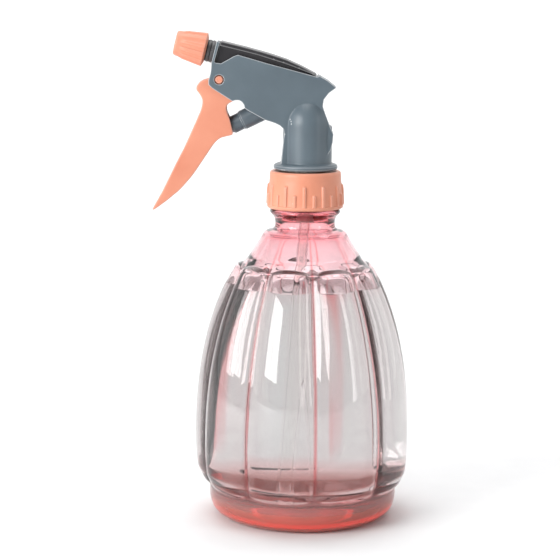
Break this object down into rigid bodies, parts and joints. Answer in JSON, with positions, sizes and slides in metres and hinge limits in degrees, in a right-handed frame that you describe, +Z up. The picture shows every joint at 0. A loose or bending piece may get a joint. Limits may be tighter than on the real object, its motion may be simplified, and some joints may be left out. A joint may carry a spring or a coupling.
{
  "type": "trigger spray bottle",
  "caption": "Hand mister: a tinted clear lobed bottle with a screw closure and a pistol-shaped trigger pump head that has a turning ribbed nozzle.",
  "frame": {"origin": "on the bottle's axis, at the plane the bottle stands on; the middle pad of the underside is 0.8 mm above it", "axes": "+Z up the bottle's axis, -X the way the nozzle points with the head straight, +Y to the left of someone who looks along -X"},
  "size_m": [0.1192, 0.0996, 0.2234],
  "materials": {
    "clear_plastic": "clear, tinted, gloss",
    "peach_plastic": "satin moulded",
    "grey_plastic": "satin moulded",
    "dark_grey_plastic": "satin moulded",
    "black_plastic": "semi-gloss moulded",
    "natural_plastic": "uncoloured, satin",
    "tube_plastic": "uncoloured, translucent",
    "seal_rubber": "matte",
    "steel": "bright"
  },
  "bodies": {
    "bottle": {"bottle": "clear_plastic"},
    "gasket": {"neck_gasket": "natural_plastic"},
    "closure": {"closure_ring": "peach_plastic"},
    "head": {"body_frame": "grey_plastic", "top_cover": "black_plastic", "pump_body": "black_plastic", "delivery_tube": "black_plastic", "cylinder_gland": "black_plastic", "tube_retainer": "natural_plastic", "dip_tube": "tube_plastic", "nozzle_spinner": "natural_plastic", "return_spring": "steel", "outlet_spring": "steel"},
    "trigger": {"trigger": "peach_plastic"},
    "piston": {"piston_rod": "dark_grey_plastic", "piston_cup": "natural_plastic"},
    "oring": {"nozzle_oring": "seal_rubber"},
    "nozzle": {"nozzle_cap": "peach_plastic"},
    "inlet_valve": {"inlet_ball": "steel"},
    "outlet_valve": {"outlet_ball": "steel"}
  },
  "joints": [
    {"name": "head_rise", "type": "slide", "parent": "bottle", "child": "gasket", "axis": [0, 0, 1], "range_m": [0, 0.0063]},
    {"name": "closure_turn", "type": "hinge", "parent": "gasket", "child": "closure", "pos_m": [0, 0, 0.15], "axis": [0, 0, 1], "range_deg": [0, 540]},
    {"name": "head_swivel", "type": "hinge", "parent": "gasket", "child": "head", "pos_m": [0, 0, 0.16], "axis": [0, 0, 1], "continuous": true},
    {"name": "trigger_squeeze", "type": "hinge", "parent": "head", "child": "trigger", "pos_m": [-0.0394, 0, 0.2018], "axis": [0, -1, 0], "range_deg": [0, 18], "stiffness_Nm_per_rad": 1, "springref_deg": -11.46},
    {"name": "piston_slide", "type": "slide", "parent": "head", "child": "piston", "axis": [0.8988, 0, 0.4384], "range_m": [0, 0.00676], "deforming": ["return_spring"]},
    {"name": "nozzle_advance", "type": "slide", "parent": "head", "child": "oring", "axis": [-0.9736, 0, 0.2284], "range_m": [0, 0.00208]},
    {"name": "nozzle_turn", "type": "hinge", "parent": "oring", "child": "nozzle", "pos_m": [-0.041, 0, 0.21375], "axis": [-0.9736, 0, 0.2284], "range_deg": [0, 300]},
    {"name": "inlet_lift", "type": "slide", "parent": "head", "child": "inlet_valve", "axis": [0, 0, 1], "range_m": [0, 0.0012]},
    {"name": "outlet_lift", "type": "slide", "parent": "head", "child": "outlet_valve", "axis": [-0.9736, 0, 0.2284], "range_m": [0, 0.0008], "stiffness_N_per_m": 40, "springref_m": -0.0005, "deforming": ["outlet_spring"]}
  ],
  "couplings": [
    {"joint": "closure_turn", "follows": "head_rise", "rad_per_m": 1485.4},
    {"joint": "piston_slide", "follows": "trigger_squeeze", "m_per_rad": 0.0215},
    {"joint": "nozzle_turn", "follows": "nozzle_advance", "rad_per_m": 2513.3}
  ]
}
